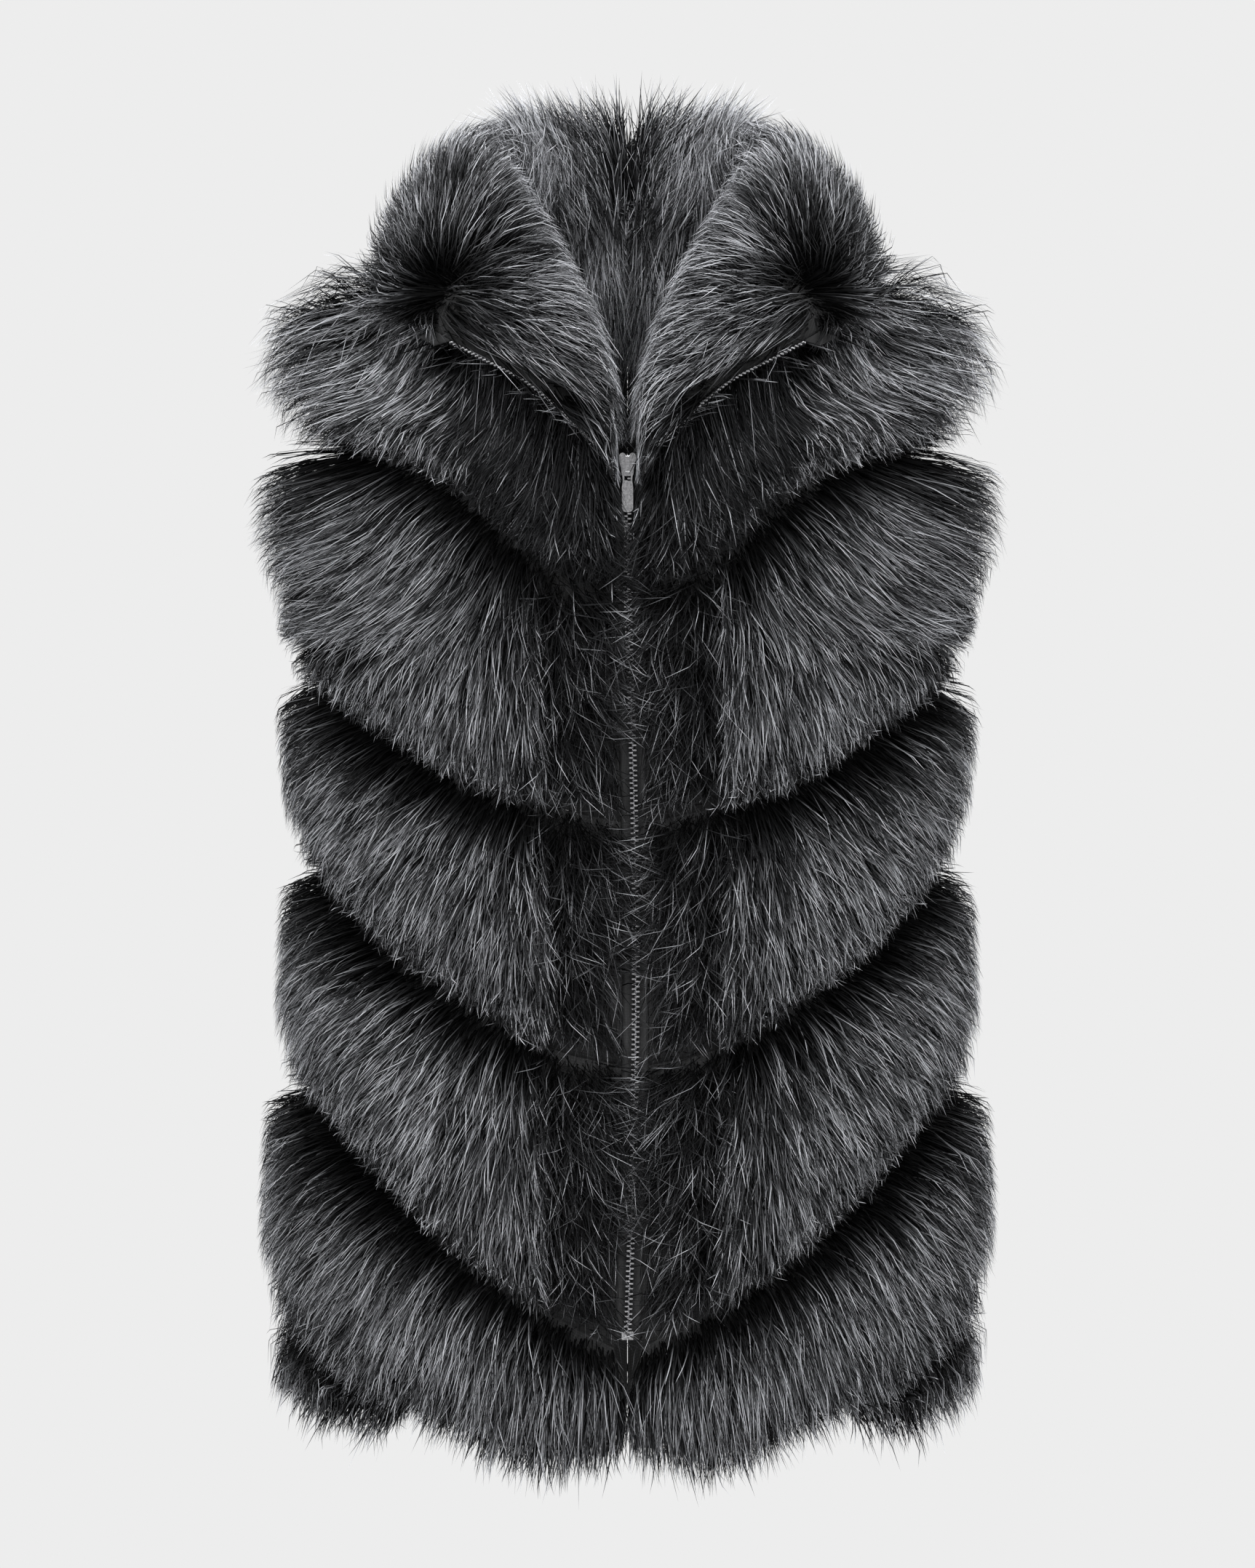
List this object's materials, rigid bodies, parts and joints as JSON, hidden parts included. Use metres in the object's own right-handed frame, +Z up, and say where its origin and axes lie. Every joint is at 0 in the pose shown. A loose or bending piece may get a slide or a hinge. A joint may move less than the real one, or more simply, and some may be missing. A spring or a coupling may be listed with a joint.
{
  "type": "faux fur vest",
  "caption": "Sleeveless long-pile faux fur vest with a deep shawl-like fur collar, chevron-cut fur bands and a metal front zip, in its worn hollow form.",
  "frame": {"origin": "midway between the neck ends of the two shoulder seams, on the wearer's midline, where the shoulders hold the vest up", "axes": "+Z up, +X to the wearer's left, the front faces -Y"},
  "size_m": [0.4494, 0.3232, 0.8351],
  "materials": {
    "fur": "long-pile faux fur, black underfur with silver-grey tips",
    "zip_cloth": "black woven zip tape",
    "zip_metal": "bright nickel-plated metal"
  },
  "bodies": {
    "vest": {"back_chest_left": "fur", "back_chest_right": "fur", "back_corner_left": "fur", "back_corner_right": "fur", "back_hip_left": "fur", "back_hip_right": "fur", "back_lower_left": "fur", "back_lower_right": "fur", "back_waist_left": "fur", "back_waist_right": "fur", "back_yoke_left": "fur", "back_yoke_right": "fur", "collar_left": "fur", "collar_right": "fur", "front_chest_left": "fur", "front_chest_right": "fur", "front_corner_left": "fur", "front_corner_right": "fur", "front_hip_left": "fur", "front_hip_right": "fur", "front_lower_left": "fur", "front_lower_right": "fur", "front_waist_left": "fur", "front_waist_right": "fur", "front_yoke_left": "fur", "front_yoke_right": "fur", "zip_bottom_stop": "zip_metal", "zip_open_row_left": "zip_metal", "zip_open_row_right": "zip_metal", "zip_slider": "zip_metal", "zip_strip_chest_left": "fur", "zip_strip_chest_right": "fur", "zip_strip_hip_left": "fur", "zip_strip_hip_right": "fur", "zip_strip_waist_left": "fur", "zip_strip_waist_right": "fur", "zip_tape_end_left": "zip_cloth", "zip_tape_end_right": "zip_cloth", "zip_tape_left": "zip_cloth", "zip_tape_right": "zip_cloth", "zip_teeth_left": "zip_metal", "zip_teeth_right": "zip_metal"},
    "pull_tab": {"pull_tab": "zip_metal"}
  },
  "joints": [
    {"name": "pull_tab_hinge", "type": "hinge", "parent": "vest", "child": "pull_tab", "pos_m": [0, -0.13335, -0.1389], "axis": [-1, 0, 0], "range_deg": [0, 150]}
  ]
}
